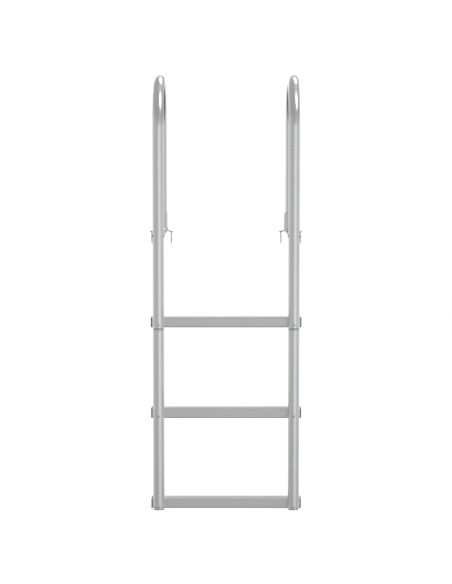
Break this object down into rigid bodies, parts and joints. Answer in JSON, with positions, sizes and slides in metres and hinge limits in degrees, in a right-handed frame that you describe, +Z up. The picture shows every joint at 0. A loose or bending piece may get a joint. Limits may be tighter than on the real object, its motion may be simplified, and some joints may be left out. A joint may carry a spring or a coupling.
{
  "type": "dock boarding ladder",
  "caption": "Aluminium boarding ladder with hooked tubular handrails in deck sockets, level deck straps and ribbed box treads bolted behind the rails.",
  "frame": {"origin": "centre of the overall box in X and Y, at the lowest point of the rails and the bottom tread; the deck surface is the plane z = 0.9300 m", "axes": "+Z up, +X across the ladder to the climber's right, +Y from the climber towards the dock"},
  "size_m": [0.54, 0.3726, 1.477],
  "materials": {
    "rail": "satin drawn and anodised tube",
    "tread": "satin extrusion with a grooved top",
    "casting": "fine cast, satin",
    "strap": "satin rolled strip",
    "connector": "mill finish, dull",
    "fastener": "stainless steel",
    "dark_plastic": "fine moulded grain",
    "grey_plastic": "smooth moulded"
  },
  "bodies": {
    "root": {"handrail_left": "rail", "lower_rail_left": "rail", "rail_connector_left": "connector", "connector_screw_left": "fastener", "rail_foot_plug_left": "grey_plastic", "tread_bolt_bottom_left": "fastener", "tread_nut_bottom_left": "fastener", "tread_saddle_bottom_left": "dark_plastic", "tread_end_cap_bottom_left": "dark_plastic", "tread_bolt_middle_left": "fastener", "tread_nut_middle_left": "fastener", "tread_saddle_middle_left": "dark_plastic", "tread_end_cap_middle_left": "dark_plastic", "tread_bolt_top_left": "fastener", "tread_nut_top_left": "fastener", "tread_saddle_top_left": "dark_plastic", "tread_end_cap_top_left": "dark_plastic", "deck_socket_left": "casting", "deck_arm_left": "strap", "set_screw_left": "fastener", "deck_screw_inboard_left": "fastener", "deck_screw_outboard_left": "fastener", "cross_bolt_left": "fastener", "cross_nut_left": "fastener", "handrail_right": "rail", "lower_rail_right": "rail", "rail_connector_right": "connector", "connector_screw_right": "fastener", "rail_foot_plug_right": "grey_plastic", "tread_bolt_bottom_right": "fastener", "tread_nut_bottom_right": "fastener", "tread_saddle_bottom_right": "dark_plastic", "tread_end_cap_bottom_right": "dark_plastic", "tread_bolt_middle_right": "fastener", "tread_nut_middle_right": "fastener", "tread_saddle_middle_right": "dark_plastic", "tread_end_cap_middle_right": "dark_plastic", "tread_bolt_top_right": "fastener", "tread_nut_top_right": "fastener", "tread_saddle_top_right": "dark_plastic", "tread_end_cap_top_right": "dark_plastic", "deck_socket_right": "casting", "deck_arm_right": "strap", "set_screw_right": "fastener", "deck_screw_inboard_right": "fastener", "deck_screw_outboard_right": "fastener", "cross_bolt_right": "fastener", "cross_nut_right": "fastener", "tread_bottom": "tread", "tread_middle": "tread", "tread_top": "tread"}
  },
  "joints": []
}
